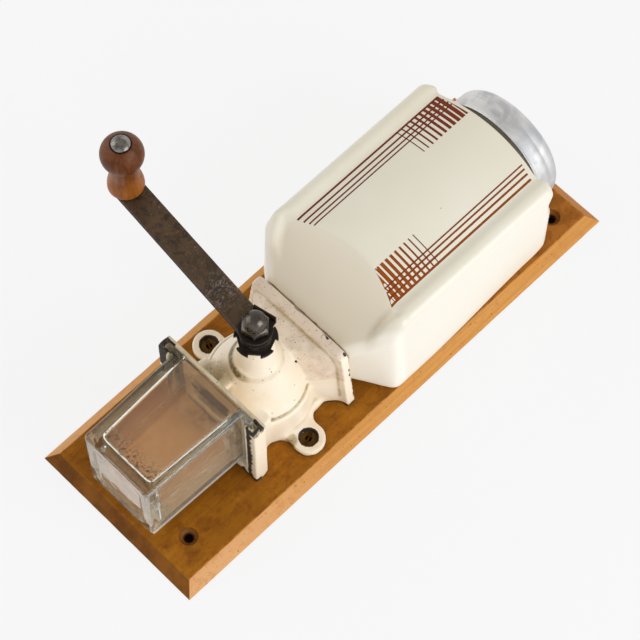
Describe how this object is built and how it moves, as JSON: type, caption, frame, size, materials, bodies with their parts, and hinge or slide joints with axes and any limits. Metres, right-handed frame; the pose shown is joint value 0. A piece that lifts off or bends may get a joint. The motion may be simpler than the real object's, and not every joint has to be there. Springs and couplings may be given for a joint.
{
  "type": "wall mount coffee grinder",
  "caption": "Hand cranked coffee mill on a bevelled wooden board, with a ceramic bean jar, metal cap, enamelled iron housing, wooden knob and glass catch cup.",
  "frame": {"origin": "centre of the board's flat back face", "axes": "+Z out of the board towards the crank, +X along the board towards the jar's lid, +Y towards the knob at rest"},
  "size_m": [0.394, 0.2182, 0.1698],
  "materials": {
    "board_wood": "oiled, stained",
    "cream_enamel": "cream enamel, chipped",
    "rusty_steel": "rusted",
    "burr_iron": "bare",
    "bush_brass": "worn",
    "plain_steel": "dull",
    "dark_steel": "dark patina",
    "brown_steel": "brown patina, scratched",
    "jar_glaze": "gloss, striped decor",
    "gasket_rubber": "matte",
    "lid_aluminium": "satin",
    "cup_glass": "clear, moulded",
    "knob_wood": "varnished"
  },
  "bodies": {
    "frame": {"backboard": "board_wood", "mill_body": "cream_enamel", "ear_screws": "rusty_steel", "outer_burr": "burr_iron", "shaft_bush": "bush_brass", "rear_bearing": "burr_iron", "rear_bearing_screws": "plain_steel", "jar": "jar_glaze", "jar_gasket": "gasket_rubber", "jar_clamp": "plain_steel", "jar_screws": "plain_steel"},
    "carrier": {"thrust_washer": "dark_steel"},
    "adjuster": {"adjusting_nut": "dark_steel"},
    "crank": {"shaft": "plain_steel", "inner_burr": "burr_iron", "burr_pin": "plain_steel", "burr_spring": "plain_steel", "crank_arm": "brown_steel", "tab_washer": "dark_steel", "dome_nut": "dark_steel", "knob_washer": "dark_steel", "knob_pin": "plain_steel"},
    "knob": {"knob": "knob_wood"},
    "lid": {"lid": "lid_aluminium"},
    "cup": {"glass_cup": "cup_glass"}
  },
  "joints": [
    {"name": "crank_spin", "type": "hinge", "parent": "frame", "child": "carrier", "pos_m": [-0.066, 0, 0.0965], "axis": [0, 0, 1], "continuous": true},
    {"name": "grind_adjust", "type": "hinge", "parent": "carrier", "child": "adjuster", "pos_m": [-0.066, 0, 0.1], "axis": [0, 0, 1], "range_deg": [-91, 271]},
    {"name": "burr_lift", "type": "slide", "parent": "carrier", "child": "crank", "axis": [0, 0, 1], "range_m": [-0.00038, 0.00112], "deforming": ["burr_spring"]},
    {"name": "knob_spin", "type": "hinge", "parent": "crank", "child": "knob", "pos_m": [-0.05337, 0.1336, 0.14], "axis": [0, 0, 1], "continuous": true},
    {"name": "lid_lift", "type": "slide", "parent": "frame", "child": "lid", "axis": [1, 0, 0], "range_m": [0, 0.045]},
    {"name": "cup_slide", "type": "slide", "parent": "frame", "child": "cup", "axis": [0, 0, 1], "range_m": [0, 0.075]}
  ],
  "couplings": [
    {"joint": "grind_adjust", "follows": "burr_lift", "rad_per_m": 4188.8}
  ]
}
